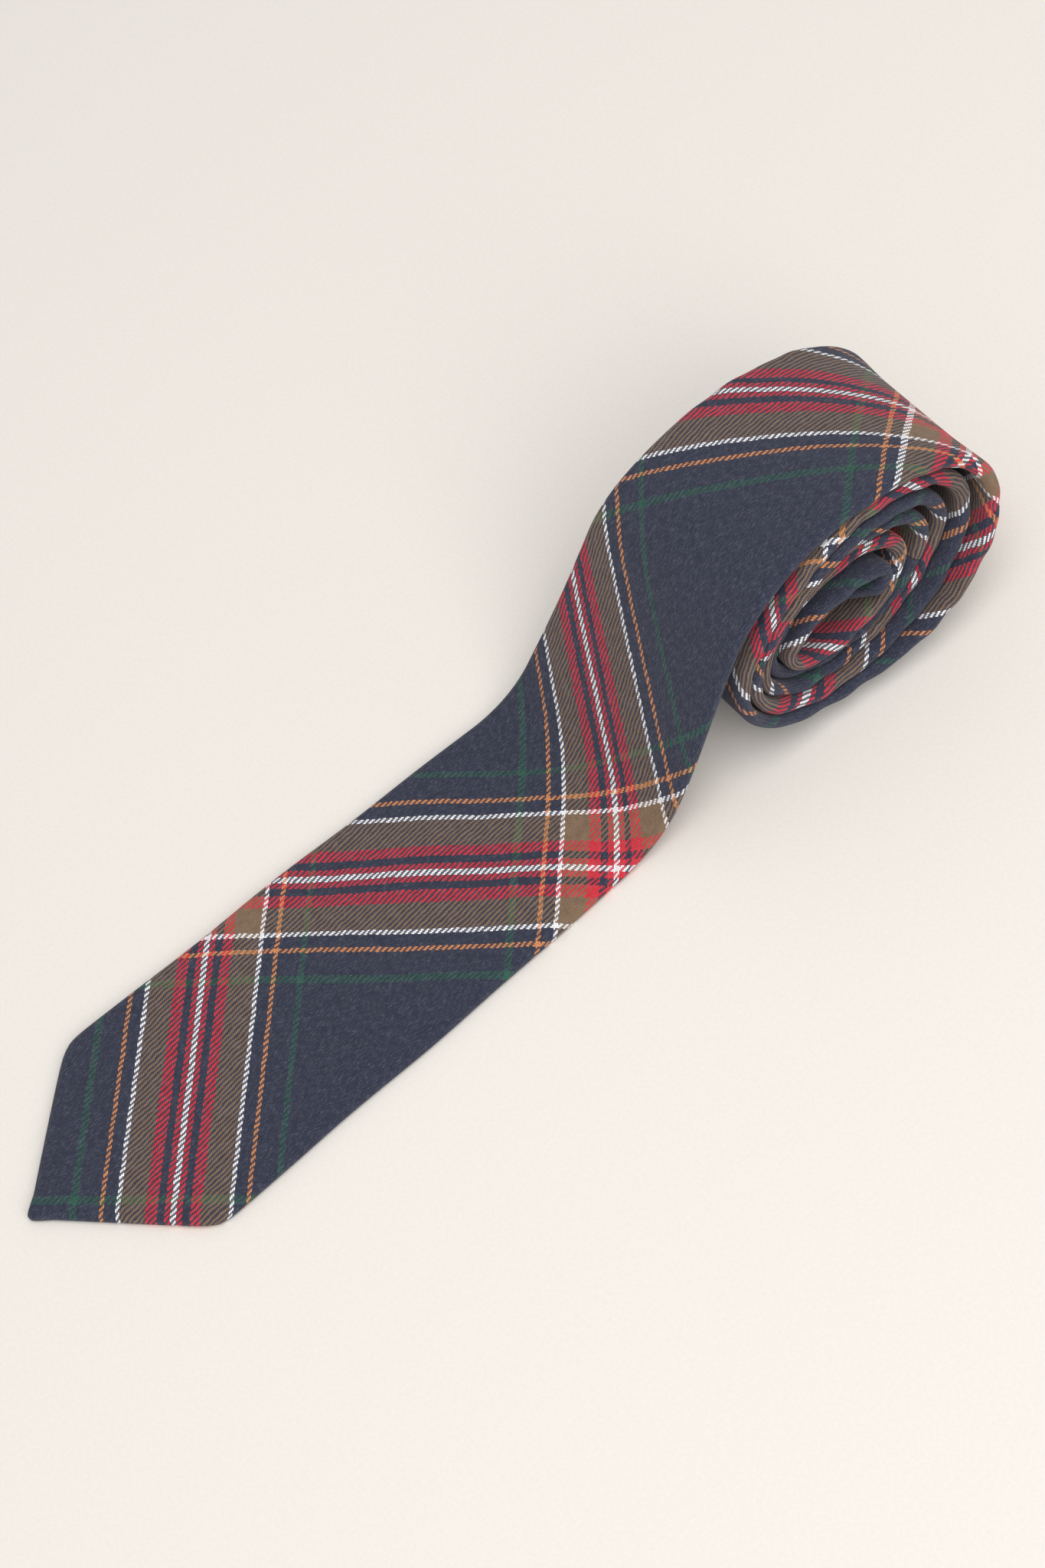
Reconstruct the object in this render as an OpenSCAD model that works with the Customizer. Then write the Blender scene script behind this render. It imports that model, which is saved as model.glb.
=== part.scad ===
// Necktie rolled up from its narrow end.
// The wide blade lies flat and face up. It climbs a ramp, passes over the crest of the roll, and winds inwards.
// Every cloth piece follows one centre line. Along it, s is the distance from the tip, t is the place across
// the tie and n is the height above the middle of its thickness, towards the face.

/* [Blade] */
// Width of the wide blade at the corners of its point
blade_w = 80; // [74:1:84]
// Length of the point, from its tip to its corners
point_l = 40; // [36:1:44]
// How far the tip sits to one side of the middle
point_shift = 2; // [0:0.5:4]
// Width lost for each millimetre of length
taper = 0.045; // [0.04:0.001:0.05]
// Width of the neck
neck_w = 38; // [36:1:42]
// Width of the narrow end
tail_w = 44; // [42:1:46]

/* [Cloth] */
// Thickness of the tie
tie_t = 3.5; // [3.3:0.05:3.6]
// Thickness of the shell cloth
shell_t = 0.8; // [0.7:0.05:0.85]
// Thickness of the interlining
lining_t = 1.2; // [1:0.05:1.25]
// Thickness of the tipping
tipping_t = 0.4; // [0.3:0.05:0.45]
// Width of the hem round the point, on the back
hem_w = 9; // [7:0.5:11]
// Distance from the tip to the bar tack at the foot of the back seam
seam_start = 92; // [88:1:95]

/* [Roll] */
// Half the length of the outermost turn
roll_a = 51; // [50:0.1:52]
// Half the height of the outermost turn
roll_b = 31.4; // [31.1:0.1:32]
// Horizontal pitch between turns
pitch_a = 6.3; // [6.1:0.1:6.4]
// Vertical pitch between turns
pitch_b = 4.3; // [4.25:0.05:4.35]
// How far the middle of the roll moves back with each turn
core_drift = 1.6; // [1.4:0.1:1.8]
// Number of turns
turns = 5.75; // [4.75:0.25:5.75]
// Distance from the tip to the middle of the roll
roll_x = 292; // [286:0.5:298]
// Tilt of the roll, its near end up
roll_tilt = 7; // [0:0.5:8]
// Rise of the roll for each millimetre away from its middle
roll_lean = 0.13; // [0.08:0.01:0.14]
// How far the outermost turn slides towards the near side
slide_outer = 6.8; // [0:0.2:6.8]
// How much further the inner turns slide
slide_inner = 6; // [0:0.5:7]

/* [Ramp] */
// Radius of the bend at the foot of the ramp
foot_r = 35; // [30:1:38]
// Distance from the tip to the fold across the flat blade
fold_s = 100; // [98:1:110]
// Distance from the tip to the fold at the foot of the ramp
foot_s = 187; // [180:1:187]

/* [Keeper] */
// Length of the keeper loop across the tie
keeper_l = 46; // [40:1:50]
// Width of the keeper loop
keeper_w = 13; // [10:1:15]
// Room under the keeper loop
keeper_gap = 1.4; // [1:0.1:1.6]

/* [Hidden] */

gap = 0.1;                 // clearance between pieces that lie on each other
slit = 0.35;               // half the opening between the two flaps on the back
edge_r = 1.3;              // bevel of the folded edges
step = 15;                 // degrees between rings round the roll
start_angle = 150;         // where the ramp meets the roll
tilt_z = 28;               // height of the line that the roll tilts about
tilt_half = 30.5;          // half the width of the turn that the roll rests on
seam_gap = 0.4;            // opening at a join between two lengths of shell
neck_turn = 2;             // turn at which the neck piece begins
tail_turn = 3.5;           // turn at which the tail piece begins
tail_point = 0.5;          // turns taken by the point of the tail

// ---- Centre line: stations of [x, z, s, tilt, width] ----
half_t = tie_t / 2;
function turn_a(u) = roll_a - pitch_a * u;
function turn_b(u) = roll_b - pitch_b * u;
roll_z = half_t + turn_b((start_angle + 90) / 360);
function spiral(u) = let (psi = start_angle - 360 * u, x = turn_a(u) * cos(psi) - core_drift * u)
    [roll_x + x, roll_z + turn_b(u) * sin(psi) + roll_lean * x * smooth(u / 0.4)];

ramp_top = spiral(0);
ramp_dir = spiral(0.002) - ramp_top;
ramp_angle = atan2(ramp_dir[1], ramp_dir[0]);
ramp_foot_x = ramp_top[0] - (ramp_top[1] - half_t) / tan(ramp_angle);
foot_start_x = ramp_foot_x - foot_r * tan(ramp_angle / 2);
foot_steps = 8;
ramp_steps = 8;
foot_points = [for (i = [0:foot_steps]) let (a = ramp_angle * i / foot_steps)
    [foot_start_x + foot_r * sin(a), half_t + foot_r * (1 - cos(a))]];
ramp_start = foot_points[foot_steps];
ramp_points = [for (i = [1:ramp_steps]) ramp_start + (ramp_top - ramp_start) * i / ramp_steps];
spiral_count = round(turns * 360 / step);
spiral_points = [for (i = [1:spiral_count]) spiral(i * step / 360)];
path = concat([[0, half_t], [fold_s, half_t], [foot_s, half_t]], foot_points, ramp_points, spiral_points);
FOLD = 1;
FOOT = 2;
CREST = 3 + foot_steps + ramp_steps;
LAST = len(path) - 1;
function station(turn) = CREST + round(turn * 360 / step);

function lengths(i = 0, sum = 0, out = []) = i > LAST ? out
    : lengths(i + 1, i < LAST ? sum + norm(path[i + 1] - path[i]) : sum, concat(out, [sum]));
path_s = lengths();
path_angle = [for (i = [0:LAST]) let (d = path[min(i + 1, LAST)] - path[max(i - 1, 0)]) atan2(d[1], d[0])];

function smooth(v) = let (c = max(0, min(1, v))) c * c * (3 - 2 * c);
function tilt(i) = roll_tilt * smooth((path_s[i] - path_s[FOOT]) / (path_s[CREST] - path_s[FOOT]));
function lift(a) = tilt_half * sin(a) - tilt_z * (1 - cos(a)) + 0.05;
tail_s = path_s[station(tail_turn)];
function width(s) = max(blade_w - taper * s,
    neck_w + (tail_w - neck_w) * smooth((s - tail_s) / (path_s[LAST] - tail_s)));

function slide(s) = -slide_outer * smooth((s - 300) / 120) - slide_inner * smooth((s - 450) / 400);

// A point of station i, moved by ds along the tie
function place(i, ds, t, n) =
    let (a = path_angle[i], r = tilt(i), y = t + slide(path_s[i]),
         x = path[i][0] - n * sin(a) + ds * cos(a), z = path[i][1] + n * cos(a) + ds * sin(a) - tilt_z)
    [x, y * cos(r) + z * sin(r), tilt_z + z * cos(r) - y * sin(r) + (r > 0 ? lift(r) : 0)];

right_end = max([for (i = [CREST:LAST]) place(i, 0, 0, half_t)[0]]);
middle_x = right_end / 2;

// ---- Sweeping ----
// Joins rings of points, all wound the same way, into one closed solid
module skin(rings) {
    count = len(rings[0]);
    last = len(rings) - 1;
    points = [for (ring = rings) each ring];
    sides = [for (r = [0:last - 1], k = [0:count - 1])
        let (a = r * count + k, b = r * count + (k + 1) % count, c = a + count, d = b + count)
        each [[a, b, c], [b, d, c]]];
    caps = [[for (k = [0:count - 1]) count - 1 - k], [for (k = [0:count - 1]) last * count + k]];
    translate([-middle_x, 0, 0]) polyhedron(points, concat(sides, caps), convexity = 10);
}

// One ring of a section at station i
function ring(i, ds, section) = [for (p = section) place(i, ds, p[0], p[1])];
// One ring of a section at the distance s from the tip, between two stations
function ring_at(s, section) =
    let (i = max([for (k = [0:LAST - 1]) if (path_s[k] <= s) k]), f = (s - path_s[i]) / (path_s[i + 1] - path_s[i]))
    ring(i, 0, section) * (1 - f) + ring(i + 1, 0, section) * f;

// From a towards b in cuts + 1 equal parts, without b
function parts(a, b, cuts) = [for (k = [0:cuts]) a + (b - a) * k / (cuts + 1)];
// The shell's section: a flat tube, open along the middle of the back. Cuts divide its long sides.
function shell_section(w, cuts = 0) =
    let (h = w / 2, r = edge_r, k = half_t - shell_t, q = r - shell_t * 0.4, wide = cuts * 2 + (cuts > 0 ? 1 : 0))
    concat(parts([-slit, -half_t], [-h + r, -half_t], cuts), [[-h + r, -half_t], [-h, 0]],
        parts([-h + r, half_t], [h - r, half_t], wide), [[h - r, half_t], [h, 0]],
        parts([h - r, -half_t], [slit, -half_t], cuts), [[slit, -half_t]],
        parts([slit, -k], [h - shell_t - q, -k], cuts), [[h - shell_t - q, -k], [h - shell_t, 0]],
        parts([h - shell_t - q, k], [-h + shell_t + q, k], wide), [[-h + shell_t + q, k], [-h + shell_t, 0]],
        parts([-h + shell_t + q, -k], [-slit, -k], cuts), [[-slit, -k]]);
function box_section(t0, t1, n0, n1) = [[t0, n0], [t0, n1], [t1, n1], [t1, n0]];
lining_low = half_t - shell_t - gap - lining_t;
function lining_section(w, cuts = 0) =
    let (h = w / 2 - shell_t - edge_r, low = lining_low, high = low + lining_t, wide = cuts * 2 + (cuts > 0 ? 1 : 0))
    concat([[-h, low]], parts([-h, high], [h, high], wide), [[h, high]],
        parts([h, low], [-h, low], wide));
function tail_width(i) = let (u = turns - (i - CREST) * step / 360)
    width(path_s[i]) * min(1, 0.3 + 0.7 * u / tail_point);
function width_at(i) = i > station(turns - tail_point) ? tail_width(i) : width(path_s[i]);

// Runs a kind of section from station a to station b, drawn back by ends at both ends
module run_shell(a, b, end_a, end_b, cuts = 0) {
    skin([for (i = [a:b]) ring(i, i == a ? end_a : i == b ? -end_b : 0, shell_section(width_at(i), cuts))]);
}
module run_lining(a, b, end_a, end_b, cuts = 0) {
    skin([for (i = [a:b]) ring(i, i == a ? end_a : i == b ? -end_b : 0, lining_section(width_at(i), cuts))]);
}
module run_stitch(a, b, end_a, end_b) {
    skin([for (i = [a:b]) ring(i, i == a ? end_a : i == b ? -end_b : 0,
        box_section(-0.2, 0.2, -half_t + 0.1, -half_t + 0.55))]);
}

// ---- Point of the blade ----
// Outline of the pointed end, drawn in by d, as far as s
function point_outline(d, s_end) =
    let (k = norm([point_l, blade_w / 2]) / (blade_w / 2) * d, h = blade_w / 2 - d,
         corner = k + (point_l - k) * (1 - d / blade_w))
    [[k, point_shift], [corner, -h], [s_end, -width(s_end) / 2 + d], [s_end, width(s_end) / 2 - d], [corner, h]];
// The opening on the back that shows the tipping
function back_opening(d) =
    let (k = (hem_w - d) * 1.41, h = blade_w / 2 - hem_w + d)
    [[k, point_shift], [point_l, -h], [seam_start - 3 + d, -slit], [fold_s + 1, -slit], [fold_s + 1, slit],
     [seam_start - 3 + d, slit], [point_l, h]];

module slab(z, t, outline) {
    translate([-middle_x, 0, z]) linear_extrude(t) polygon(outline);
}

module tip_shell() {
    color([0.17, 0.18, 0.24]) {
        slab(tie_t - shell_t, shell_t, point_outline(0, fold_s - gap));
        difference() {
            slab(0, tie_t, point_outline(0, fold_s - gap));
            slab(-1, tie_t + 2, concat(point_outline(shell_t, fold_s + 1)));
        }
        difference() {
            slab(0, shell_t, point_outline(0, fold_s - gap));
            slab(-1, shell_t + 2, back_opening(0));
        }
    }
}
module tip_interlining() {
    color([0.9, 0.88, 0.82])
        slab(half_t + lining_low, lining_t, point_outline(shell_t + edge_r, fold_s - gap));
}
module tip_tipping() {
    color([0.08, 0.09, 0.13])
        slab(shell_t + gap, tipping_t, point_outline(shell_t + edge_r, seam_start - 4));
}
module blade_bar_tack() {
    color([0.12, 0.13, 0.18])
        translate([seam_start - middle_x, 0, 0.35]) cube([2, slit * 2 - 0.1, 0.5], center = true);
}

// ---- Flat blade ----
// Outline of the tie from s0 to s1, drawn in by d at its sides
function strip_outline(d, s0, s1) = let (h0 = width(s0) / 2 - d, h1 = width(s1) / 2 - d)
    [[s0, -h0], [s1, -h1], [s1, h1], [s0, h0]];
module blade_shell() {
    color([0.17, 0.18, 0.24]) difference() {
        slab(0, tie_t, strip_outline(0, fold_s + gap, foot_s - gap));
        slab(shell_t, tie_t - 2 * shell_t, strip_outline(shell_t, fold_s - 1, foot_s + 1));
        slab(-1, shell_t + 2, [[fold_s - 1, -slit], [foot_s + 1, -slit], [foot_s + 1, slit], [fold_s - 1, slit]]);
    }
}
module blade_interlining() {
    color([0.9, 0.88, 0.82]) run_lining(FOLD, FOOT, gap, gap);
}
module blade_slip_stitch() {
    color([0.12, 0.13, 0.18]) run_stitch(FOLD, FOOT, gap, gap);
}

// ---- Ramp ----
module ramp_shell() {
    color([0.17, 0.18, 0.24]) run_shell(FOOT, CREST, gap, gap, 2);
}
module ramp_interlining() {
    color([0.9, 0.88, 0.82]) run_lining(FOOT, CREST, gap, gap, 2);
}
module ramp_slip_stitch() {
    color([0.12, 0.13, 0.18]) run_stitch(FOOT, CREST, gap, gap);
}

// The keeper loop is a band across the back, sewn down at both ends, with a slot through its middle
keeper_s = path_s[CREST - ramp_steps / 2];
back = -half_t - 0.25;
module across_back(s, length, section) {
    skin([for (ds = [-length / 2, length / 2]) ring_at(s + ds, section)]);
}
module keeper_loop() {
    h = keeper_l / 2;
    out = back - 0.7;
    color([0.2, 0.2, 0.27]) difference() {
        across_back(keeper_s, keeper_w, [[h, back], [h, out], [h - 8, out - keeper_gap],
            [-h + 8, out - keeper_gap], [-h, out], [-h, back]]);
        across_back(keeper_s, keeper_w + 2, [[h - 5, back + 0.1], [h - 8, back - keeper_gap],
            [-h + 8, back - keeper_gap], [-h + 5, back + 0.1]]);
    }
}
module keeper_tack(side) {
    t0 = side * (keeper_l / 2 - 2.5);
    low = back - 0.7 - keeper_gap * 3 / 8 - 0.1;
    color([0.1, 0.1, 0.14]) across_back(keeper_s, keeper_w - 4, box_section(t0 - 0.5, t0 + 0.5, low - 0.4, low));
}
module keeper_tack_left() {
    keeper_tack(1);
}
module keeper_tack_right() {
    keeper_tack(-1);
}
module care_label() {
    color([0.93, 0.92, 0.9]) across_back(keeper_s - 12, 10, box_section(-12, 12, back - 0.35, back));
}

// ---- Roll ----
neck_at = station(neck_turn);
tail_at = station(tail_turn);
module crest_shell() {
    color([0.17, 0.18, 0.24]) run_shell(CREST, neck_at, gap, seam_gap / 2);
}
module neck_shell() {
    color([0.22, 0.2, 0.2]) run_shell(neck_at, tail_at, seam_gap / 2, seam_gap / 2);
}
module tail_shell() {
    color([0.25, 0.2, 0.18]) run_shell(tail_at, LAST, seam_gap / 2, 0);
}
module crest_interlining() {
    color([0.9, 0.88, 0.82]) run_lining(CREST, neck_at, gap, seam_gap / 2);
}
module neck_interlining() {
    color([0.9, 0.88, 0.82]) run_lining(neck_at, tail_at, seam_gap / 2, seam_gap / 2);
}
module tail_interlining() {
    color([0.9, 0.88, 0.82]) run_lining(tail_at, LAST, seam_gap / 2, 1);
}
// A join is a line of stitches across the face, in the opening between two lengths of shell
module join_seam(i) {
    h = width_at(i) / 2 - edge_r;
    color([0.1, 0.1, 0.14]) skin([for (ds = [-seam_gap / 2 + 0.08, seam_gap / 2 - 0.08])
        ring(i, ds, box_section(-h, h, half_t - 0.7, half_t - 0.1))]);
}
module blade_neck_seam() {
    join_seam(neck_at);
}
module neck_tail_seam() {
    join_seam(tail_at);
}
module roll_slip_stitch() {
    color([0.12, 0.13, 0.18]) run_stitch(CREST, station(turns - tail_point), gap, 0);
}
module tail_tipping() {
    low = -half_t + shell_t + gap;
    color([0.08, 0.09, 0.13]) skin([for (i = [station(turns - tail_point) + 2:LAST])
        let (h = width_at(i) / 2 - shell_t - edge_r) ring(i, 0, box_section(-h, h, low, low + tipping_t))]);
}
module tail_bar_tack() {
    color([0.12, 0.13, 0.18]) skin([for (ds = [0.2, 1.6]) ring(station(turns - tail_point), ds,
        box_section(-slit + 0.1, slit - 0.1, -half_t + 0.1, -half_t + 0.6))]);
}

tip_shell();
tip_interlining();
tip_tipping();
blade_bar_tack();
blade_shell();
blade_interlining();
blade_slip_stitch();
ramp_shell();
ramp_interlining();
ramp_slip_stitch();
keeper_loop();
keeper_tack_left();
keeper_tack_right();
care_label();
crest_shell();
neck_shell();
tail_shell();
crest_interlining();
neck_interlining();
tail_interlining();
blade_neck_seam();
neck_tail_seam();
roll_slip_stitch();
tail_tipping();
tail_bar_tack();
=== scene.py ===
"""A tartan flannel necktie, rolled up from its narrow end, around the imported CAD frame.

Lengths are in millimetres until a mesh is written, which is in metres. Along the tie, s is the distance from
the tip of the wide blade, t the place across it and n the height above the middle of its thickness, towards
the face. The centre line repeats the CAD's own: flat blade, bend, ramp, and an oval spiral that leans a
little. Only its innermost loop differs, which has sunk together here.
"""
import math

import bpy
import numpy as np
from mathutils import Matrix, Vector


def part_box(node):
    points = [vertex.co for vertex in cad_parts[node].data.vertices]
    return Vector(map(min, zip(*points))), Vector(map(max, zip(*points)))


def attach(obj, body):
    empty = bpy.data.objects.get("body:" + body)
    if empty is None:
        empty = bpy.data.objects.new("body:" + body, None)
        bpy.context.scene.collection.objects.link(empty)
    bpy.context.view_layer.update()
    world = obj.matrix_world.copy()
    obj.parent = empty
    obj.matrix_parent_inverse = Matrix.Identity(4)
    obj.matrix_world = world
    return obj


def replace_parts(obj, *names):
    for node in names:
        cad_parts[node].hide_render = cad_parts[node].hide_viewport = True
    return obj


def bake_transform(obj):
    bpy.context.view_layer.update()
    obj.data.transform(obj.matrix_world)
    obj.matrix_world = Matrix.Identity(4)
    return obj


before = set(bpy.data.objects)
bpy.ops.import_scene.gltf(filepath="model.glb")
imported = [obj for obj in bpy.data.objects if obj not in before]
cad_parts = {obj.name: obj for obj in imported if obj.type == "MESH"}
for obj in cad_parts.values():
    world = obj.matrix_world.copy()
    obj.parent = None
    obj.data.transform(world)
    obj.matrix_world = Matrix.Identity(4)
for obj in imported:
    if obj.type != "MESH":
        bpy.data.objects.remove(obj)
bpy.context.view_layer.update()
MM = 0.001

# ---- Design, as in the CAD ----
BLADE_W = 80.0
POINT_L = 40.0
POINT_SHIFT = 2.0
TAPER = 0.045
NECK_W = 38.0
TAIL_W = 44.0
TIE_T = 3.5
HEM_W = 9.0
SEAM_START = 92.0
ROLL_A = 51.0
ROLL_B = 31.4
PITCH_A = 6.3
PITCH_B = 4.3
CORE_DRIFT = 1.6
TURNS = 5.75
ROLL_X = 292.0
ROLL_TILT = math.radians(7.0)
ROLL_LEAN = 0.13
FOOT_R = 35.0
FOLD_S = 100.0
FOOT_S = 187.0
START_ANGLE = 150.0
TILT_Z = 28.0
TILT_HALF = 30.5
NECK_TURN = 2.0
TAIL_TURN = 3.5
TAIL_POINT = 0.5
KEEPER_L = 46.0
KEEPER_W = 13.0
KEEPER_GAP = 1.4
LABEL_L = 24.0           # across the tie
LABEL_W = 10.0           # along it
SLIDE_OUTER = 6.8        # how far the outermost turn slides towards the near side
SLIDE_INNER = 6.0        # and how much further the inner ones do
MIDDLE_X = -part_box("tip_shell")[0][0] / MM

# ---- Looks ----
CLOTH_T = 0.7            # thickness of the shell cloth
WOOL_T = 1.2             # thickness of the interlining
EDGE_R = 1.9             # radius of the folded edges
CROWN = 0.5              # rise of the face in the middle
FLAP_LAP = 3.0           # how far the flaps on the back overlap, each side of the middle
WOOL_GAP = 3.0           # from the interlining to each folded edge
BLEND_HALF = 20.0        # half the length of cloth that bends at a joint
SLIDE_BUMP = 2.6         # further slide of the first turn, near its foot
CORE_SAG = 0.5           # share of its height that the innermost loop loses
FLOOR_PRESS = 6.0        # how firmly the roll is pressed flat on the floor, per mm

# ---- Camera ----
CAMERA_HEADING = 17.141  # degrees, from straight ahead towards the right
CAMERA_ELEVATION = 58.942 # degrees above the floor
CAMERA_ROLL = -24.459
CAMERA_AT = (37.9, -481.8, 856.2)
CAMERA_LENS = 77.95


def smooth(v):
    c = np.clip(v, 0.0, 1.0)
    return c * c * (3.0 - 2.0 * c)


def spiral(u):
    """Centre line of the roll after u turns, as x and height above the middle of the roll."""
    psi = np.radians(START_ANGLE - 360 * u)
    x = (ROLL_A - PITCH_A * u) * np.cos(psi) - CORE_DRIFT * u
    sag = 1 - CORE_SAG * smooth((u - 4.6) / 1.1)
    z = (ROLL_B - PITCH_B * u) * sag * np.sin(psi) + ROLL_LEAN * x * smooth(u / 0.4)
    return np.stack([ROLL_X + x, z], -1)


def make_centre_line():
    """Dense points of the centre line: distance, x, z, slope and turns made."""
    half = TIE_T / 2
    roll_z = np.array([0, half + ROLL_B - PITCH_B * (START_ANGLE + 90) / 360])
    top = spiral(np.array(0.0)) + roll_z
    step = spiral(np.array(0.002)) + roll_z - top
    angle = math.atan2(step[1], step[0])
    foot_x = top[0] - (top[1] - half) / math.tan(angle) - FOOT_R * math.tan(angle / 2)
    bend = np.linspace(0, angle, 80)
    foot = np.stack([foot_x + FOOT_R * np.sin(bend), half + FOOT_R * (1 - np.cos(bend))], -1)
    flat = np.stack([np.linspace(0, foot_x, 400, endpoint=False), np.full(400, half)], -1)
    ramp = foot[-1] + (top - foot[-1]) * np.linspace(0, 1, 160)[1:-1, None]
    foot_end = len(flat) + len(foot) - 1
    crest = foot_end + 1 + len(ramp)
    u = np.linspace(0, TURNS, 8000)
    points = np.concatenate([flat, foot, ramp, spiral(u) + roll_z])
    s = np.concatenate([[0], np.cumsum(np.linalg.norm(np.diff(points, axis=0), axis=1))])
    even = np.arange(0, s[-1], 0.25)
    x, z = (np.interp(even, s, points[:, k]) for k in (0, 1))
    slope = np.unwrap(np.arctan2(np.gradient(z), np.gradient(x)))
    soft = np.ones(9) / 9
    slope[6:-6] = np.convolve(slope, soft, "same")[6:-6]
    return even, x, z, slope, np.interp(even, s[crest:], u), s[foot_end], s[crest]


LINE_S, LINE_X, LINE_Z, LINE_A, LINE_U, RAMP_S, CREST_S = make_centre_line()
TOTAL = LINE_S[-1]


def s_at_turn(turn):
    """Distance along the tie where the roll has made so many turns."""
    return float(np.interp(turn, LINE_U, LINE_S))


NECK_S = s_at_turn(NECK_TURN)
TAIL_S = s_at_turn(TAIL_TURN)


def width(s):
    flare = NECK_W + (TAIL_W - NECK_W) * smooth((s - TAIL_S) / (TOTAL - TAIL_S))
    return np.maximum(BLADE_W - TAPER * s, flare)


def tilt(s):
    return ROLL_TILT * smooth((s - FOOT_S) / (CREST_S - FOOT_S))


def sway(s):
    """Sideways slide of the turns towards the near side, and their wander: none is wound quite true."""
    slide = -SLIDE_OUTER * smooth((s - 300) / 120) - SLIDE_INNER * smooth((s - 450) / 400)
    slide = slide - SLIDE_BUMP * smooth((s - 335) / 55) * (1 - smooth((s - 405) / 50))
    return slide + smooth((s - 330) / 120) * (1.1 * np.sin(s / 41 + 0.6) + 0.7 * np.sin(s / 19 + 2.1))


def room(s):
    """1 on the side of the roll where the turns lie loosest, 0 where they are tight."""
    downhill = np.clip(-np.sin(np.interp(s, LINE_S, LINE_A)), 0, 1)
    return downhill ** 2 * smooth((s - CREST_S - 25) / 40)


def puff(s):
    """How much thicker the folded edges are than the flat tie: most where the turns leave room for it."""
    in_roll = smooth((s - CREST_S - 5) / 40)
    return 1 + in_roll * (0.14 + (0.30 + 0.12 * np.sin(s / 13)) * room(s))


def place(s, t, n):
    """Points of the tie in metres, for arrays of s, t and n of one shape."""
    s, t, n = np.broadcast_arrays(np.asarray(s, float), t, n)
    x, z, a = (np.interp(s, LINE_S, v) for v in (LINE_X, LINE_Z, LINE_A))
    r = tilt(s)
    t = t + sway(s)
    x = x - n * np.sin(a)
    z = z + n * np.cos(a) - TILT_Z
    lift = TILT_HALF * np.sin(r) - TILT_Z * (1 - np.cos(r))
    z, t = TILT_Z + z * np.cos(r) - t * np.sin(r) + lift, t * np.cos(r) + z * np.sin(r)
    z = np.where(s > CREST_S, np.logaddexp(0, FLOOR_PRESS * z) / FLOOR_PRESS, z)
    return np.stack([x - MIDDLE_X, t, z], -1) * MM


# ---- Meshes ----
def mesh_object(name, verts, faces, uvs=None):
    mesh = bpy.data.meshes.new(name)
    mesh.from_pydata([tuple(v) for v in verts], [], faces)
    if uvs is not None:
        layer = mesh.uv_layers.new(name="fabric")
        index = np.empty(len(mesh.loops), dtype=np.int32)
        mesh.loops.foreach_get("vertex_index", index)
        layer.data.foreach_set("uv", np.asarray(uvs, dtype=np.float32)[index].ravel())
    mesh.polygons.foreach_set("use_smooth", [True] * len(mesh.polygons))
    mesh.update()
    obj = bpy.data.objects.new(name, mesh)
    bpy.context.collection.objects.link(obj)
    return obj


def swept(name, outer, inner, uv):
    """A closed sheet between two grids of points, rows along the tie and columns across it."""
    rows, cols = outer.shape[:2]
    loop = 2 * cols
    grid = np.concatenate([outer, inner[:, ::-1]], axis=1).reshape(-1, 3)
    uvs = np.concatenate([uv, uv[:, ::-1]], axis=1).reshape(-1, 2)
    k = np.arange(loop)
    r = np.arange(rows - 1)[:, None] * loop
    quads = np.stack([r + k, r + (k + 1) % loop, r + loop + (k + 1) % loop, r + loop + k], -1).reshape(-1, 4)
    c = np.arange(cols - 1)
    first = np.stack([c, loop - 1 - c, loop - 2 - c, c + 1], -1)
    last = (rows - 1) * loop + np.stack([c, c + 1, loop - 2 - c, loop - 1 - c], -1)
    faces = np.concatenate([quads, first, last]).tolist()
    obj = mesh_object(name, grid, faces, uvs)
    # the ends stay sharp, so that two lengths of cloth meet without a visible line
    pairs = np.empty(2 * len(obj.data.edges), dtype=np.int32)
    obj.data.edges.foreach_get("vertices", pairs)
    rim = (pairs.reshape(-1, 2) < loop).all(1) | (pairs.reshape(-1, 2) >= (rows - 1) * loop).all(1)
    obj.data.attributes.new("sharp_edge", "BOOLEAN", "EDGE").data.foreach_set("value", rim)
    return obj


# ---- Shell ----
BACK_COLS = 13
EDGE_COLS = 8
FRONT_COLS = 34
POINT_SOFT = 1.9         # how softly the edges of the point run into the sides
LEFT_POINT = (BLADE_W / 2 - POINT_SHIFT, POINT_L - 0.5)       # width and length of each half of the point
RIGHT_POINT = (BLADE_W / 2 + POINT_SHIFT, POINT_L + 0.7)


def point_edges(s):
    """Left and right edges of the cloth, with the blunt point of the blade at the start."""
    half = width(s) / 2 + (0.28 * np.sin(s / 19 + 1) + 0.16 * np.sin(s / 8.3)) * smooth((s - 50) / 30)
    apex = POINT_SHIFT * smooth(s / 3)

    def blunt(v):
        return np.sqrt(v * v + 1.7 * v) - 0.85 * smooth(s / 6)

    def round_min(v):
        return -POINT_SOFT * np.logaddexp(-v / POINT_SOFT, -half / POINT_SOFT)

    left = apex + blunt(LEFT_POINT[0] * s / LEFT_POINT[1])
    right = -apex + blunt(RIGHT_POINT[0] * s / RIGHT_POINT[1])
    shift = POINT_SHIFT * (1 - smooth(s / 3))
    return round_min(left) + shift, -round_min(right) + shift


def tail_edges(s):
    """How far the narrow end has closed towards its own point, from 1 to 0."""
    return np.clip((TOTAL - s) / 20.0, 0.0, 1.0)


def side_normal(s, side):
    """Outward direction of the folded edge, along and across the tie."""
    across, along = LEFT_POINT if side > 0 else RIGHT_POINT
    v = np.array([-across, side * along])
    v = v / np.linalg.norm(v)
    on_point = (s < POINT_L)[:, None]
    return np.where(on_point, v, np.array([TAPER / 2, side * 1.0]))


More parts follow.
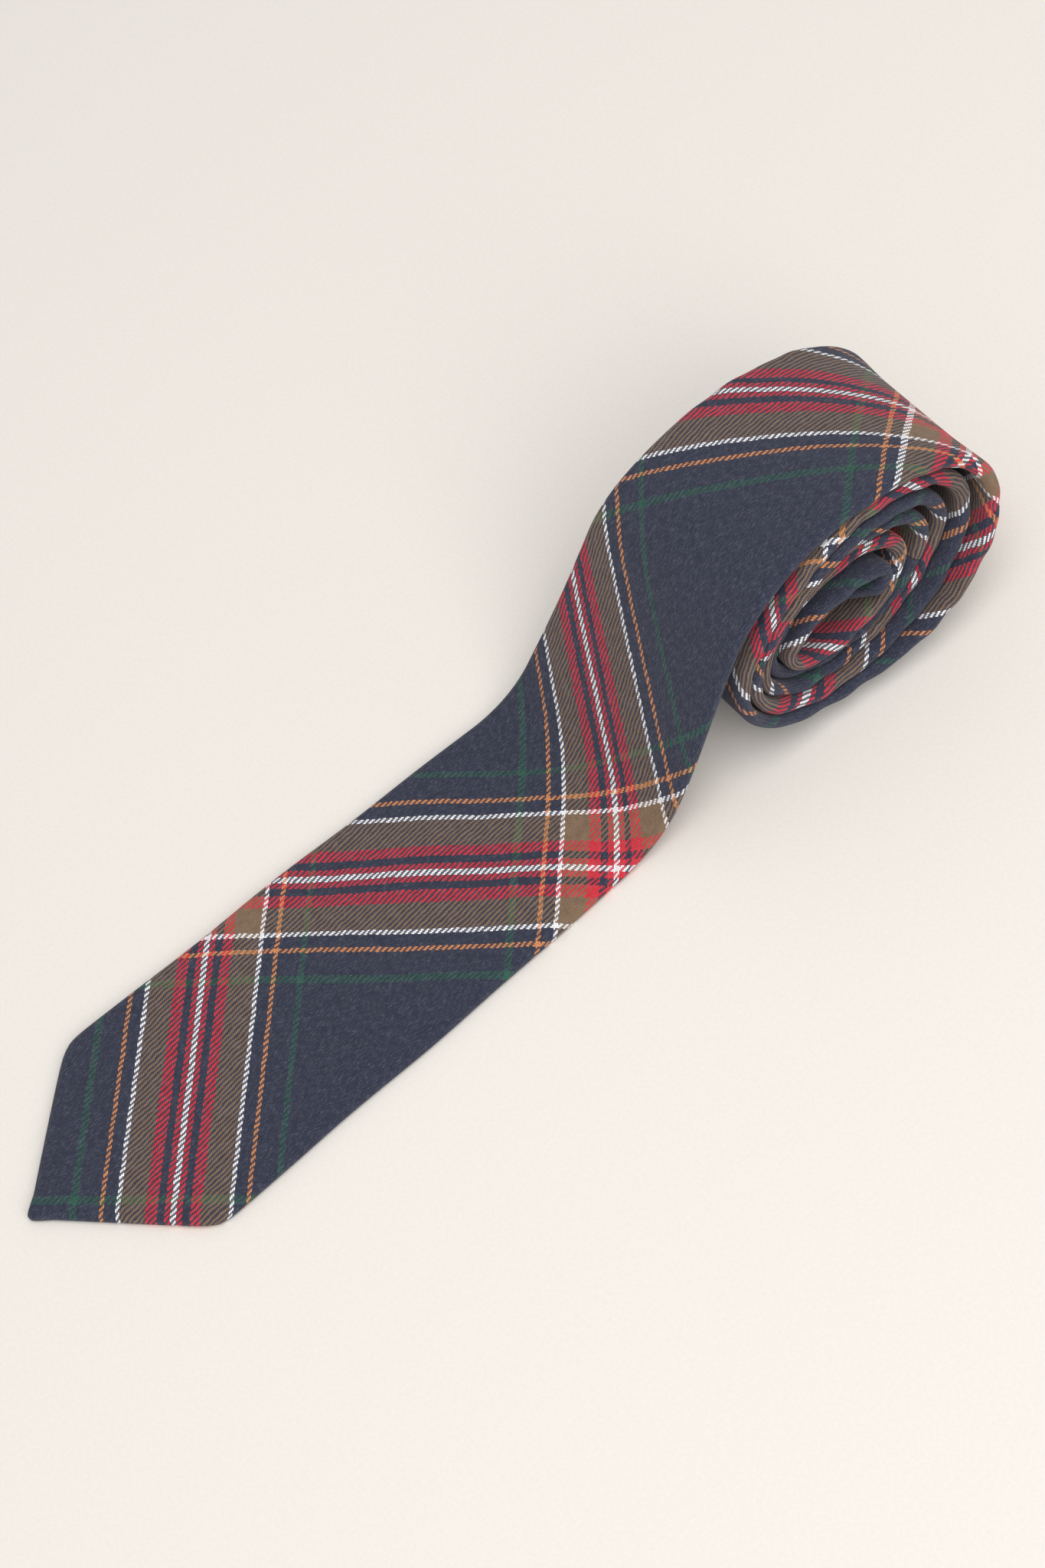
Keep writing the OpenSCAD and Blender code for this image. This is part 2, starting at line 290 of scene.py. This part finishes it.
def flap_end(s, side, edge, middle, size):
    """Where the flap folded to the back ends, across the tie."""
    lap = FLAP_LAP * (1 - 0.35 * (side < 0)) * smooth((s - SEAM_START) / 8)
    along = np.clip((SEAM_START - s) / (SEAM_START - POINT_L), 0, 1)
    straight = side * along * (BLADE_W / 2 - HEM_W) - side * lap
    on_point = edge - side * HEM_W * 1.41
    end = np.where(s < POINT_L, np.where(side * (on_point - middle) > 0, on_point, middle), straight)
    return np.where(size < 8, middle - side * np.minimum(lap, size * 0.3), end)


def shell_grid(s):
    """Outer and inner points of the shell, and where each lies on the flat cloth."""
    left, right = point_edges(s)
    close = tail_edges(s)
    edge = {1: left * close, -1: right * close}
    middle = (edge[1] + edge[-1]) / 2
    size = (edge[1] - edge[-1]) / 2
    thick = TIE_T / 2 * np.sqrt(np.clip(1 - (1 - np.minimum(size, 4.0) / 4.0) ** 2, 0.02, 1))
    swell = puff(s)
    normal = {side: side_normal(s, side) for side in (1, -1)}
    radius = {side: np.minimum(EDGE_R * swell / np.abs(normal[side][:, 1]), size * 0.45) for side in (1, -1)}
    under = 0.85 * smooth((s - SEAM_START + 6) / 10)

    def fullness(t, least):
        """1 in the middle, growing to the swell at the puffed edges."""
        return 1 + (swell - 1) * smooth((np.abs(t - middle) / np.maximum(size, least) - 0.45) / 0.5)

    # a column is: place across, height, angle turned round the fold from the back (None before it), side
    halves = {}
    for side in (1, -1):
        tangent = edge[side] - side * radius[side]
        start = flap_end(s, side, edge[side], middle, size)
        half = []
        for f in np.linspace(0, 1, BACK_COLS):
            t = start + (tangent - start) * f
            n = -thick * fullness(t, 1)
            if side > 0:
                n = n + under * smooth((8 - np.abs(t)) / 4)
            half.append((t, n, None, side))
        for p in np.linspace(0, math.pi, EDGE_COLS + 2)[1:-1]:
            half.append((tangent + side * radius[side] * np.sin(p), -thick * swell * np.cos(p), p, side))
        halves[side] = half
    front = []
    for f in np.linspace(0, 1, FRONT_COLS):
        a, b = edge[1] - radius[1], edge[-1] + radius[-1]
        t = a + (b - a) * f
        q = np.abs((t - middle) / np.maximum(size, 0.1))
        crown = CROWN * (1 - q ** 3) * np.clip(size / 12, 0, 1) * (1 - smooth((s - CREST_S) / 60))
        front.append((t, thick * fullness(t, 0.1) + crown, None, 0))
    columns = halves[1] + front + halves[-1][::-1]
    t = np.stack([c[0] for c in columns], 1)
    n = np.stack([c[1] for c in columns], 1)

    # on the flat cloth, the folds and flaps lie beyond the edge, along its normal
    flat = np.stack([np.repeat(s[:, None], t.shape[1], 1), t], -1)
    for k, (across, _, turned, side) in enumerate(columns):
        if side == 0:
            continue
        r = radius[side] * np.abs(normal[side][:, 1])
        depth = np.maximum(side * (edge[side] - across) * np.abs(normal[side][:, 1]), 0)
        beyond = (math.pi - 2) * r + depth if turned is None else (math.pi - turned - 1) * r
        flat[:, k] = np.stack([s, across], -1) + (depth + beyond)[:, None] * normal[side]

    # inner wall, one cloth thickness in
    dt, dn = np.gradient(t, axis=1), np.gradient(n, axis=1)
    length = np.maximum(np.hypot(dt, dn), 1e-6)
    wall = np.minimum(CLOTH_T, thick[:, None] * 0.45)
    return t, n, t - dn / length * wall, n + dt / length * wall, flat


def wave(s, t):
    """Low waves of the face, a few tenths of a millimetre."""
    return 0.16 * np.sin(s / 17 + t / 23 + 0.5) + 0.12 * np.sin(s / 11 - t / 9 + 1.9)


def crumple(s, t):
    """Small wrinkles where the edges of the roll are squeezed along their length."""
    edge = smooth((np.abs(t) / (width(s) / 2) - 0.55) / 0.45) * smooth((s - CREST_S - 20) / 60)
    coarse = 0.22 * np.sin(s / 2.9 + 2 * np.sin(s / 23))
    fine = 0.16 * np.sin(s / 1.7 + 3 * np.sin(s / 31) + 1)
    return edge * (coarse + fine)


def shell_piece(name, s0, s1, step, shift=(0.0, 0.0)):
    rows = max(2, int(round((s1 - s0) / step)) + 1)
    s = np.linspace(s0, s1, rows)
    if s0 == 0:
        s = np.concatenate([[0.12, 0.3, 0.6, 1.0, 1.5], s[s > 1.9]])
    t, n, t_in, n_in, fab = shell_grid(s)
    sg = s[:, None]
    lift = np.where(n > 0, wave(sg, t), 0) * smooth(sg / 30) * (1 - smooth((sg - CREST_S - 20) / 60))
    twist = 0.75 * np.sin(sg / 37 + 1) + 0.45 * np.sin(sg / 15)
    lift = lift + crumple(sg, t) * 0.5 - room(sg) * t / 30 * twist
    out = t + crumple(sg + 3, t) * np.sign(t)
    outer = place(sg, out, n + lift)
    inner = place(sg, t_in + out - t, n_in + lift)
    uv = fab + np.asarray(shift)
    return swept(name, outer, inner, uv)


def strip_piece(name, s0, s1, step, side_gap, low, high):
    """A flat strip inside the shell, such as the interlining."""
    s = np.linspace(s0, s1, max(2, int(round((s1 - s0) / step)) + 1))
    left, right = point_edges(s)
    close = tail_edges(s)
    left, right = left * close - side_gap, right * close + side_gap
    f = np.linspace(0, 1, 13)[None, :]
    t = left[:, None] + (right - left)[:, None] * f
    outer = place(s[:, None], t, np.full_like(t, high))
    inner = place(s[:, None], t, np.full_like(t, low))
    uv = np.stack([np.repeat(s[:, None], 13, 1), t], -1)
    return swept(name, outer, inner, uv)


# ---- Materials ----
class Nodes:
    """Small helper that writes node arithmetic."""

    def __init__(self, material):
        material.use_nodes = True
        self.tree = material.node_tree
        self.tree.nodes.clear()
        self.out = self.tree.nodes.new("ShaderNodeOutputMaterial")
        self.shader = self.tree.nodes.new("ShaderNodeBsdfPrincipled")
        self.tree.links.new(self.shader.outputs[0], self.out.inputs["Surface"])

    def put(self, socket, value):
        if isinstance(value, bpy.types.NodeSocket):
            self.tree.links.new(value, socket)
        else:
            socket.default_value = value

    def fabric(self):
        """Place on the flat cloth in mm: the vector, then along and across."""
        uv = self.tree.nodes.new("ShaderNodeUVMap")
        uv.uv_map = "fabric"
        split = self.tree.nodes.new("ShaderNodeSeparateXYZ")
        self.put(split.inputs[0], uv.outputs[0])
        return uv.outputs[0], split.outputs[0], split.outputs[1]

    def math(self, operation, a, b=0.0, c=0.0):
        node = self.tree.nodes.new("ShaderNodeMath")
        node.operation = operation
        for k, value in enumerate((a, b, c)):
            self.put(node.inputs[k], value)
        return node.outputs[0]

    def mix(self, factor, a, b, blend="MIX"):
        node = self.tree.nodes.new("ShaderNodeMix")
        node.data_type = "RGBA"
        node.blend_type = blend
        self.put(node.inputs[0], factor)
        self.put(node.inputs[6], a)
        self.put(node.inputs[7], b)
        return node.outputs[2]

    def smoothstep(self, value, low, high):
        node = self.tree.nodes.new("ShaderNodeMapRange")
        node.interpolation_type = "SMOOTHSTEP"
        for socket, v in zip(node.inputs[:3], (value, low, high)):
            self.put(socket, v)
        return node.outputs[0]

    def noise(self, vector, scale, detail=2.0, rough=0.5):
        node = self.tree.nodes.new("ShaderNodeTexNoise")
        self.put(node.inputs["Vector"], vector)
        node.inputs["Scale"].default_value = scale
        node.inputs["Detail"].default_value = detail
        node.inputs["Roughness"].default_value = rough
        return node.outputs["Fac"]

    def bump(self, height, distance, strength=1.0, normal=None):
        node = self.tree.nodes.new("ShaderNodeBump")
        node.inputs["Strength"].default_value = strength
        node.inputs["Distance"].default_value = distance
        self.put(node.inputs["Height"], height)
        if normal is not None:
            self.put(node.inputs["Normal"], normal)
        return node.outputs[0]


def linear(r, g, b):
    """A colour on the 0 to 255 scale of a screen, as light."""
    f = lambda c: c / 12.92 if c <= 0.04045 else ((c + 0.055) / 1.055) ** 2.4
    return tuple(f(v / 255) for v in (r, g, b)) + (1.0,)


NAVY = linear(48, 52, 69)
RED = linear(206, 48, 60)
BROWN = linear(128, 104, 80)
WHITE = linear(240, 240, 244)
ORANGE = linear(208, 136, 84)
GREEN = linear(40, 86, 70)
NAP = linear(128, 128, 142)
FLECK = linear(118, 98, 88)

THREAD = 0.445           # distance between threads
SETT_HALF = 60.5         # half the repeat of the tartan
BIAS = math.radians(42.47)
WEFT_STRETCH = 1.097
WARP_START = 78.63
WEFT_START = 24.62
# Colours from the middle of the white band outwards, with where each begins
SETT = [(0.0, WHITE), (0.82, RED), (2.5, NAVY), (4.6, RED), (8.2, BROWN), (15.95, WHITE), (17.4, NAVY),
        (20.75, ORANGE), (22.05, NAVY), (28.6, GREEN), (30.9, NAVY)]


def tartan_material(name):
    material = bpy.data.materials.new(name)
    g = Nodes(material)
    uv, s, t = g.fabric()
    ca, sa = math.cos(BIAS), math.sin(BIAS)
    warp = g.math("ADD", g.math("SUBTRACT", g.math("MULTIPLY", s, ca), g.math("MULTIPLY", t, sa)), WARP_START)
    weft = g.math("ADD", g.math("MULTIPLY", s, sa / WEFT_STRETCH),
                  g.math("ADD", g.math("MULTIPLY", t, ca / WEFT_STRETCH), WEFT_START))
    # a little unevenness in how the threads lie
    drift = g.math("MULTIPLY", g.math("SUBTRACT", g.noise(uv, 0.25, 1.0), 0.5), 0.8)
    bow = g.math("MULTIPLY", g.math("SUBTRACT", g.noise(uv, 0.028, 0.0), 0.5), 2.4)
    warp = g.math("ADD", warp, drift)
    weft = g.math("ADD", g.math("SUBTRACT", weft, drift), bow)
    u = g.math("DIVIDE", warp, THREAD)
    v = g.math("DIVIDE", weft, THREAD)
    i, j = g.math("FLOOR", u), g.math("FLOOR", v)
    fu, fv = g.math("FRACT", u), g.math("FRACT", v)

    def float_height(index, run, offset, across):
        phase = g.math("MULTIPLY", g.math("ADD", g.math("SUBTRACT", index, run), offset), math.pi / 2)
        crest = g.math("COSINE", phase)
        side = g.math("SUBTRACT", g.math("MULTIPLY", across, 2.0), 1.0)
        return g.math("SUBTRACT", crest, g.math("MULTIPLY", g.math("MULTIPLY", side, side), 0.55))
    # warp floats over two threads and under two, and each thread shifts by one
    warp_h = float_height(i, v, 0.0, fu)
    weft_h = float_height(u, j, -3.0, fv)
    ramp_nodes = []
    for index in (i, j):
        centre = g.math("MULTIPLY", g.math("ADD", index, 0.5), THREAD)
        fold = g.math("DIVIDE", g.math("PINGPONG", centre, SETT_HALF), SETT_HALF)
        ramp = g.tree.nodes.new("ShaderNodeValToRGB")
        ramp.color_ramp.interpolation = "CONSTANT"
        elements = ramp.color_ramp.elements
        elements[0].position, elements[0].color = 0.0, SETT[0][1]
        elements[1].position, elements[1].color = SETT[1][0] / SETT_HALF, SETT[1][1]
        for start, colour in SETT[2:]:
            elements.new(start / SETT_HALF).color = colour
        g.put(ramp.inputs[0], fold)
        ramp_nodes.append(ramp.outputs[0])
    fibre = g.noise(uv, 3.2, 3.0, 0.7)
    ragged = g.math("MULTIPLY", g.math("SUBTRACT", fibre, 0.5), 1.1)
    over = g.smoothstep(g.math("ADD", g.math("SUBTRACT", warp_h, weft_h), ragged), -0.2, 0.2)
    nap = g.math("ADD", g.math("MULTIPLY", over, 0.86), 0.07)
    colour = g.mix(nap, ramp_nodes[1], ramp_nodes[0])
    height = g.math("MAXIMUM", warp_h, weft_h)
    # short loose fibres, brushed up in two directions, and a few flecks of other wool
    hairs = []
    for angle in (0.5, 2.2):
        turn = g.tree.nodes.new("ShaderNodeMapping")
        turn.inputs["Rotation"].default_value = (0, 0, angle)
        turn.inputs["Scale"].default_value = (0.4, 2.6, 1.0)
        g.put(turn.inputs["Vector"], uv)
        hairs.append(g.noise(turn.outputs[0], 1.3, 3.0, 0.65))
    hair = g.smoothstep(g.math("MAXIMUM", hairs[0], hairs[1]), 0.52, 0.70)
    patch = g.noise(uv, 0.35, 5.0, 0.7)
    fuzz = g.math("MULTIPLY", hair, g.math("ADD", g.math("MULTIPLY", patch, 0.62), 0.04))
    colour = g.mix(fuzz, colour, NAP)
    fleck = g.smoothstep(g.noise(uv, 1.15, 2.0, 0.8), 0.66, 0.74)
    colour = g.mix(g.math("MULTIPLY", fleck, 0.35), colour, FLECK)
    # painted shade: the valleys between threads are darker, and the nap varies in patches
    shade = g.smoothstep(height, -0.7, 0.8)
    shade = g.math("ADD", g.math("MULTIPLY", shade, 0.72), 0.5)
    shade = g.math("MULTIPLY", shade, g.math("ADD", g.math("MULTIPLY", patch, 0.9), 0.58))
    speck = g.noise(uv, 5.5, 2.0, 0.6)
    shade = g.math("MULTIPLY", shade, g.math("ADD", g.math("MULTIPLY", speck, 0.8), 0.62))
    grey = g.tree.nodes.new("ShaderNodeCombineColor")
    for k in range(3):
        g.put(grey.inputs[k], shade)
    colour = g.mix(1.0, colour, grey.outputs[0], "MULTIPLY")
    g.put(g.shader.inputs["Base Color"], colour)
    g.shader.inputs["Roughness"].default_value = 0.95
    g.shader.inputs["Specular IOR Level"].default_value = 0.12
    g.shader.inputs["Sheen Weight"].default_value = 0.16
    g.shader.inputs["Sheen Roughness"].default_value = 0.5
    g.shader.inputs["Sheen Tint"].default_value = (0.9, 0.9, 0.95, 1.0)
    first = g.bump(height, 0.00012, 0.8)
    rough = g.math("ADD", speck, g.math("MULTIPLY", hair, 0.6))
    g.put(g.shader.inputs["Normal"], g.bump(rough, 0.00016, 0.7, first))
    return material


def cloth_material(name, colour, rough, rib, sheen=0.1):
    """Plain cloth with a fine plain weave."""
    material = bpy.data.materials.new(name)
    g = Nodes(material)
    uv, s, t = g.fabric()
    a = g.math("SINE", g.math("MULTIPLY", s, math.pi / rib))
    b = g.math("SINE", g.math("MULTIPLY", t, math.pi / rib))
    weave = g.math("MULTIPLY", a, b)
    fibre = g.noise(uv, 2.5, 4.0, 0.7)
    dark = tuple(c * 0.72 for c in colour[:3]) + (1.0,)
    factor = g.math("ADD", g.math("MULTIPLY", weave, 0.18), fibre)
    g.put(g.shader.inputs["Base Color"], g.mix(factor, dark, colour))
    g.shader.inputs["Roughness"].default_value = rough
    g.shader.inputs["Sheen Weight"].default_value = sheen
    g.put(g.shader.inputs["Normal"], g.bump(factor, 0.00012, 0.7))
    return material


TARTAN = tartan_material("tartan_flannel")
INTERLINING = cloth_material("interlining_wool", linear(226, 220, 204), 0.95, 0.5)
TIPPING = cloth_material("tipping_satin", linear(24, 28, 44), 0.45, 0.12, 0.3)
THREAD_DARK = cloth_material("sewing_thread", linear(30, 32, 46), 0.6, 0.2)
LABEL = cloth_material("label_satin", linear(232, 230, 224), 0.5, 0.12)


def dress(obj, material):
    obj.data.materials.append(material)
    return obj


# ---- Camera, floor and light ----
def add_camera():
    """From the near side and high above it, turned so that the blade points to the lower left."""
    data = bpy.data.cameras.new("camera")
    data.sensor_fit = "VERTICAL"
    data.sensor_height = 36
    data.lens = CAMERA_LENS
    camera = bpy.data.objects.new("camera", data)
    x, y, z = CAMERA_AT
    camera.matrix_world = (Matrix.Translation(((x - MIDDLE_X) * MM, y * MM, z * MM))
                           @ Matrix.Rotation(-math.radians(CAMERA_HEADING), 4, "Z")
                           @ Matrix.Rotation(math.radians(90 - CAMERA_ELEVATION), 4, "X")
                           @ Matrix.Rotation(math.radians(CAMERA_ROLL), 4, "Z"))
    bpy.context.collection.objects.link(camera)
    bpy.context.scene.camera = camera


def add_floor():
    size = 4.0
    floor = mesh_object("floor", [(-size, -size, 0), (size, -size, 0), (size, size, 0), (-size, size, 0)],
                        [(0, 1, 2, 3)])
    material = bpy.data.materials.new("floor_paper")
    g = Nodes(material)
    coords = g.tree.nodes.new("ShaderNodeTexCoord")
    grain = g.noise(coords.outputs["Object"], 900.0, 3.0, 0.6)
    g.put(g.shader.inputs["Base Color"], g.mix(grain, linear(233, 228, 221), linear(243, 239, 233)))
    g.shader.inputs["Roughness"].default_value = 0.9
    floor.data.materials.append(material)


def add_area_light(name, position, target, size, power, colour):
    data = bpy.data.lights.new(name, "AREA")
    data.shape = "DISK"
    data.size = size
    data.energy = power
    data.color = colour
    light = bpy.data.objects.new(name, data)
    z = np.array(position) - np.array(target)
    z = z / np.linalg.norm(z)
    x = np.cross((0.0, 1.0, 0.05), z)
    x = x / np.linalg.norm(x)
    y = np.cross(z, x)
    light.matrix_world = Matrix([[x[k], y[k], z[k], position[k]] for k in range(3)] + [[0, 0, 0, 1]])
    bpy.context.collection.objects.link(light)


def add_lights():
    world = bpy.data.worlds.new("studio")
    world.use_nodes = True
    world.node_tree.nodes["Background"].inputs[0].default_value = (1.0, 0.995, 0.985, 1)
    world.node_tree.nodes["Background"].inputs[1].default_value = 0.50
    bpy.context.scene.world = world
    add_area_light("key", (0.1, -0.5, 2.0), (0, 0, 0), 1.4, 18, (1.0, 0.985, 0.97))
    add_area_light("fill", (0.05, -1.5, 1.2), (0, 0, 0), 1.4, 12.3, (1.0, 0.985, 0.975))


add_camera()
add_floor()
add_lights()
scene = bpy.context.scene
scene.view_settings.view_transform = "Standard"
scene.view_settings.look = "None"

# ---- The tie ----
TIP_CUT = 143.0
RAMP_CUT = 226.0
CREST_CUT = CREST_S + BLEND_HALF + 4
JOIN_GAP = 0.2
TAIL_LINING_L = 34.0


def joint_points(s):
    a = place(s - BLEND_HALF, 0, 0)
    b = place(s + BLEND_HALF, 0, 0)
    return tuple(a), tuple(b)


def bind(obj, part):
    """Makes a piece on the roll follow the roll's body; a piece on the tip, blade or ramp only has its place
    baked into its mesh.
    """
    pairs = {"tip": ("blade_tip", "blade", FOLD_S), "blade": ("blade", "ramp", FOOT_S),
             "ramp": ("ramp", "roll", CREST_S)}
    if part in pairs:
        first, second, s = pairs[part]
        start, end = joint_points(s)
        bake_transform(obj)
    else:
        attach(obj, "roll")
    return obj


STRETCHES = [("tip", 0.0, TIP_CUT, "tip"), ("blade", TIP_CUT, RAMP_CUT, "blade"),
             ("ramp", RAMP_CUT, CREST_CUT, "ramp"), ("crest", CREST_CUT, NECK_S - JOIN_GAP, "roll"),
             ("neck", NECK_S + JOIN_GAP, TAIL_S - JOIN_GAP, "roll"),
             ("tail", TAIL_S + JOIN_GAP, TOTAL - 0.3, "roll")]
# where the neck and the tail were cut from the cloth, so that the tartan doesn't run on over a join
SHIFTS = {"neck": (37.0, 11.0), "tail": (-23.0, 45.0)}


def cloth_width(s0, s1):
    """Finished width at even places along a stretch of the tie."""
    s = np.linspace(s0, s1, 200)
    left, right = point_edges(s)
    return (left - right) * tail_edges(s)


for part, s0, s1, where in STRETCHES:
    step = 1.0 if where != "roll" else 1.4
    mean_width = float(np.mean(cloth_width(s0, s1)))
    shell = shell_piece(part + "_cloth", s0, s1, step, SHIFTS.get(part, (0, 0)))
    bind(dress(shell, TARTAN), where)
    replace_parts(shell, part + "_shell")
    low = -TIE_T / 2 + 1.2
    wool = strip_piece(part + "_wool", max(s0, 6.0), min(s1, TOTAL - 4), 3.0, WOOL_GAP, low, low + WOOL_T)
    bind(dress(wool, INTERLINING), where)
    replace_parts(wool, part + "_interlining")

# ---- Lining of the two ends ----
TAIL_LINING_S = TOTAL - TAIL_LINING_L
LININGS = [("tip_lining", 4.0, SEAM_START - 2, 2.6, "tip", "tip_tipping"),
           ("tail_lining", TAIL_LINING_S, TOTAL - 4, 2.2, "roll", "tail_tipping")]

for name, s0, s1, gap, where, cad in LININGS:
    lining = dress(strip_piece(name, s0, s1, 1.5, gap, -1.0, -0.82), TIPPING)
    bind(lining, where)
    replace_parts(lining, cad)
    across = cloth_width(s0, s1) - 2 * gap


# ---- Sewing ----
class Sewing:
    """Threads with rounded ends, gathered into one mesh. Points are (s, t, n) along, across and above."""

    def __init__(self):
        self.verts, self.faces, self.sides = [], [], 6

    def thread(self, points, radius):
        points = np.asarray(points, float)
        ahead = np.gradient(points, axis=0)
        ahead /= np.linalg.norm(ahead, axis=1)[:, None]
        up = np.cross(ahead, (0.31, 0.52, 0.79))
        up /= np.linalg.norm(up, axis=1)[:, None]
        out = np.cross(ahead, up)
        size = np.full(len(points), radius)
        size[[0, -1]] *= 0.45
        base = len(self.verts)
        for p, u, o, r in zip(points, up, out, size):
            for k in range(self.sides):
                a = 2 * math.pi * k / self.sides
                self.verts.append(p + r * (u * math.cos(a) + o * math.sin(a)))
        n = self.sides
        for i in range(len(points) - 1):
            for k in range(n):
                a, b = base + i * n + k, base + i * n + (k + 1) % n
                self.faces.append((a, b, b + n, a + n))
        self.faces.append(tuple(base + k for k in reversed(range(n))))
        self.faces.append(tuple(base + (len(points) - 1) * n + k for k in range(n)))

    def stitch(self, start, end, n, arch, radius, parts=5):
        f = np.linspace(0, 1, parts + 1)[:, None]
        line = np.asarray(start, float) * (1 - f) + np.asarray(end, float) * f
        height = n + arch * np.sin(math.pi * f)
        self.thread(np.concatenate([line, height], 1), radius)

    def build(self, name):
        v = np.array(self.verts)
        return dress(mesh_object(name, place(v[:, 0], v[:, 1], v[:, 2]), self.faces, v[:, :2]),
                     THREAD_DARK)


def slip_stitches(name, s0, s1, where, cad=None):
    """Slanting stitches that close the back, 6 mm apart, over the free edge of the upper flap."""
    sewing = Sewing()
    edge = FLAP_LAP * 0.65
    for k in range(int(math.ceil(s0 / 6)), int(s1 / 6) + 1):
        s = k * 6.0
        if s0 + 0.5 < s < s1 - 2.0:
            wobble = 0.25 * math.sin(k * 2.4)
            sewing.stitch((s, edge - 0.9 + wobble), (s + 1.5, edge + 0.8 + wobble),
                          -TIE_T / 2 - 0.02, -0.24, 0.14)
    obj = bind(sewing.build(name), where)
    if cad:
        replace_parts(obj, cad)


slip_stitches("tip_stitches", SEAM_START + 2, TIP_CUT, "tip")
slip_stitches("blade_stitches", TIP_CUT, RAMP_CUT, "blade", "blade_slip_stitch")
slip_stitches("ramp_stitches", RAMP_CUT, CREST_CUT, "ramp", "ramp_slip_stitch")
slip_stitches("roll_stitches", CREST_CUT, TAIL_LINING_S, "roll", "roll_slip_stitch")


def bar_tack(name, s, half, where, cad):
    """A tight bar of thread across the foot of the back seam."""
    sewing = Sewing()
    for k in range(3):
        at = s - 0.45 + 0.45 * k
        sewing.stitch((at, -half), (at, half), -TIE_T / 2 - 0.05, -0.1, 0.17, 8)
    for k in range(int(half * 2 / 0.42)):
        t = -half + 0.3 + k * 0.42
        sewing.stitch((s - 0.85, t), (s + 0.85, t + 0.12), -TIE_T / 2 + 0.02, -0.42, 0.16)
    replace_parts(bind(sewing.build(name), where), cad)


bar_tack("blade_tack", SEAM_START, 3.2, "tip", "blade_bar_tack")
bar_tack("tail_tack", s_at_turn(TURNS - TAIL_POINT), 2.4, "roll", "tail_bar_tack")


def join_stitches(name, s, cad):
    """Machine stitches down in the groove of a join, across the face."""
    sewing = Sewing()
    half = float(width(s)) / 2 - 1.6
    for k in range(int(half * 2 / 2.2)):
        t = -half + k * 2.2
        sewing.stitch((s, t), (s, t + 1.8), TIE_T / 2 - 0.35, 0.16, 0.13)
    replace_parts(bind(sewing.build(name), "roll"), cad)


join_stitches("neck_join", NECK_S, "blade_neck_seam")
join_stitches("tail_join", TAIL_S, "neck_tail_seam")

# ---- Keeper loop and label on the back of the ramp ----
KEEPER_S = (RAMP_S + CREST_S) / 2
BACK = -TIE_T / 2 - 0.25


def keeper():
    """A folded band of the same cloth, sewn down at both ends and standing off in the middle."""
    t = np.linspace(-KEEPER_L / 2, KEEPER_L / 2, 70)[:, None]
    q = np.linspace(-1, 1, 21)[None, :]
    s = KEEPER_S + q * KEEPER_W / 2 + 0 * t
    rise = KEEPER_GAP * smooth((KEEPER_L / 2 - 4 - np.abs(t)) / 5) + 0.12 * np.sin(t / 3.1) * np.cos(q * 2)
    round_off = 0.42 * np.abs(q) ** 6
    end = 0.25 * smooth((np.abs(t) - KEEPER_L / 2 + 1.2) / 1.2)
    outer = place(s, t + 0 * q, BACK - 0.95 - rise + round_off + end)
    inner = place(s, t + 0 * q, BACK + 0.02 - rise - round_off * 0.9 + 0 * end)
    uv = np.stack([t + 0 * q + 210.0, s - KEEPER_S + 30.0], -1)
    obj = dress(swept("keeper_cloth", outer, inner, uv), TARTAN)
    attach(obj, "ramp")
    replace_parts(obj, "keeper_loop")


def keeper_stitches(name, side, cad):
    sewing = Sewing()
    for k in range(9):
        s = KEEPER_S - 4.4 + 1.1 * k
        t = side * (KEEPER_L / 2 - 2.5)
        sewing.stitch((s, t - 0.8), (s + 0.7, t + 0.8), BACK - 0.98, -0.2, 0.15)
        sewing.stitch((s + 0.7, t - 0.8), (s, t + 0.8), BACK - 1.06, -0.2, 0.15)
    obj = sewing.build(name)
    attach(obj, "ramp")
    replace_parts(obj, cad)


def label():
    """A blank woven label, its lower end curling away a little."""
    t = np.linspace(-LABEL_L / 2, LABEL_L / 2, 49)[None, :]
    s = np.linspace(-LABEL_W / 2, LABEL_W / 2, 25)[:, None]
    curl = 0.5 * smooth((-s - 1.5) / 4) * (1 - 0.4 * (2 * t / LABEL_L) ** 2)
    n = BACK - 0.30 - curl - 0.05 * np.sin(t / 2.3)
    at = KEEPER_S - 12 + s + 0 * t
    outer, inner = place(at, t + 0 * s, n), place(at, t + 0 * s, n + 0.2)
    uv = np.stack([at, t + 0 * s], -1)
    obj = dress(swept("label_satin", outer, inner, uv), LABEL)
    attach(obj, "ramp")
    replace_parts(obj, "care_label")


keeper()
keeper_stitches("keeper_sewing_left", 1, "keeper_tack_left")
keeper_stitches("keeper_sewing_right", -1, "keeper_tack_right")
label()
